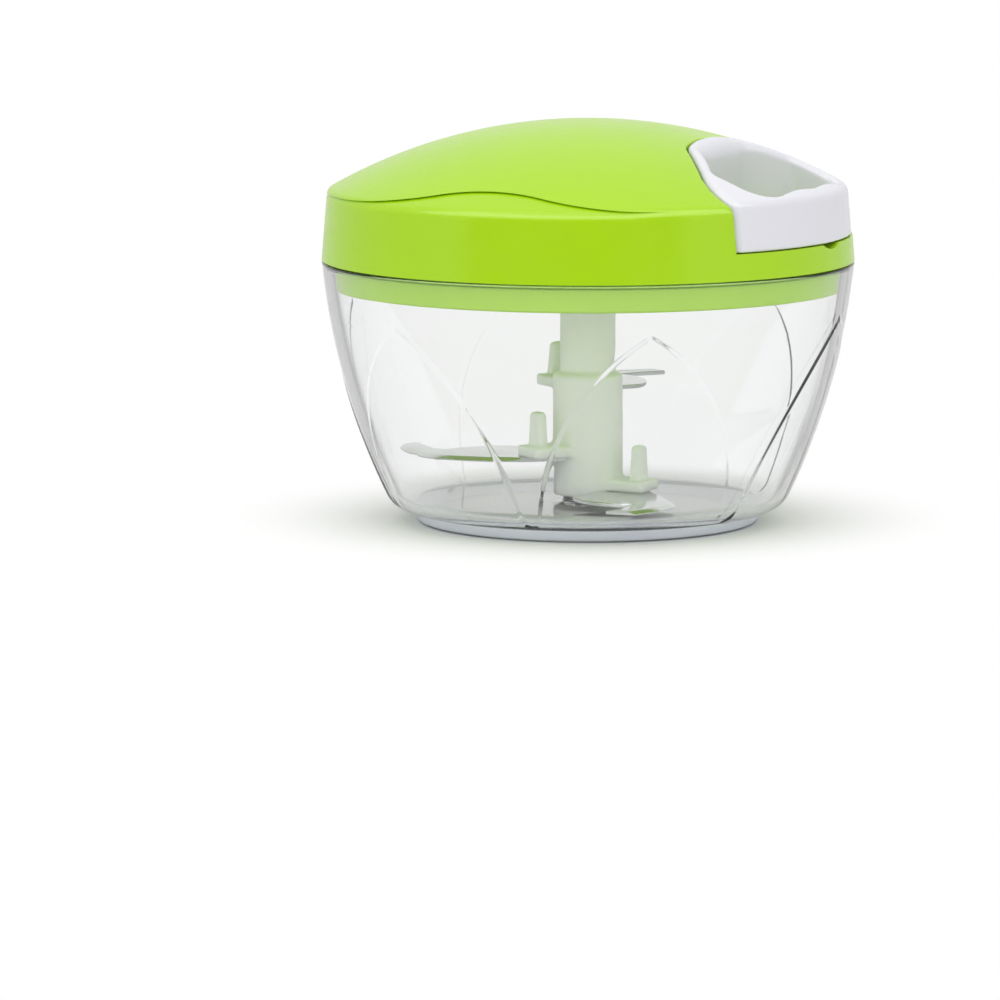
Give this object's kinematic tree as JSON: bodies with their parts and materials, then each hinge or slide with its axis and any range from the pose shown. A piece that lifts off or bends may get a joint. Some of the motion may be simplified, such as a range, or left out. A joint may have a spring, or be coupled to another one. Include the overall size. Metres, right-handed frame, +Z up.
{
  "type": "pull-string food chopper",
  "caption": "Hand-pulled food chopper: clear round bowl on a non-slip foot, domed lid with a grip on a cord, and curved steel blades at several heights on a turning shaft",
  "frame": {"origin": "centre of the foot on the table", "axes": "+Z up, +X the way the handle is pulled"},
  "size_m": [0.13, 0.13, 0.098],
  "materials": {
    "clear_bowl": "clear, glossy",
    "foot": "soft, milky",
    "steel": "bright",
    "bush": "satin",
    "shaft": "translucent, satin",
    "blade_steel": "polished sheet",
    "plug": "glossy",
    "seal": "soft",
    "lid": "glossy",
    "reel": "satin",
    "cord": "smooth cord",
    "handle": "glossy"
  },
  "bodies": {
    "bowl": {"bowl": "clear_bowl", "foot_ring": "foot", "pivot_pin": "steel"},
    "lid": {"lid_cover": "lid", "lid_base": "plug", "seal_ring": "seal", "lid_screws": "steel", "cord_guide": "bush", "reel_washer": "steel", "post_screw": "steel"},
    "reel": {"cord_reel": "reel", "reel_cover": "reel", "cord_winding": "cord", "spiral_spring": "steel", "drive_dog": "reel"},
    "blades": {"blade_shaft": "shaft", "shaft_bush": "bush", "lower_blade": "blade_steel", "middle_blade": "blade_steel", "upper_blade": "blade_steel"},
    "handle": {"pull_handle": "handle", "cord_anchor": "handle", "cord_lead": "cord"}
  },
  "joints": [
    {"name": "lid_lift", "type": "slide", "parent": "bowl", "child": "lid", "axis": [0, 0, 1], "range_m": [0, 0.08]},
    {"name": "handle_pull", "type": "slide", "parent": "lid", "child": "handle", "axis": [1, 0, 0], "range_m": [0, 0.6], "stiffness_N_per_m": 8, "springref_m": -0.5, "deforming": ["cord_lead"]},
    {"name": "reel_spin", "type": "hinge", "parent": "lid", "child": "reel", "pos_m": [0, 0, 0.0784], "axis": [0, 0, 1], "range_deg": [0, 1650], "deforming": ["spiral_spring"]},
    {"name": "blade_spin", "type": "hinge", "parent": "bowl", "child": "blades", "pos_m": [0, 0, 0.0116], "axis": [0, 0, 1], "range_deg": [0, 1650]}
  ],
  "couplings": [
    {"joint": "reel_spin", "follows": "handle_pull", "rad_per_m": 47.801},
    {"joint": "blade_spin", "follows": "handle_pull", "rad_per_m": 47.801}
  ]
}
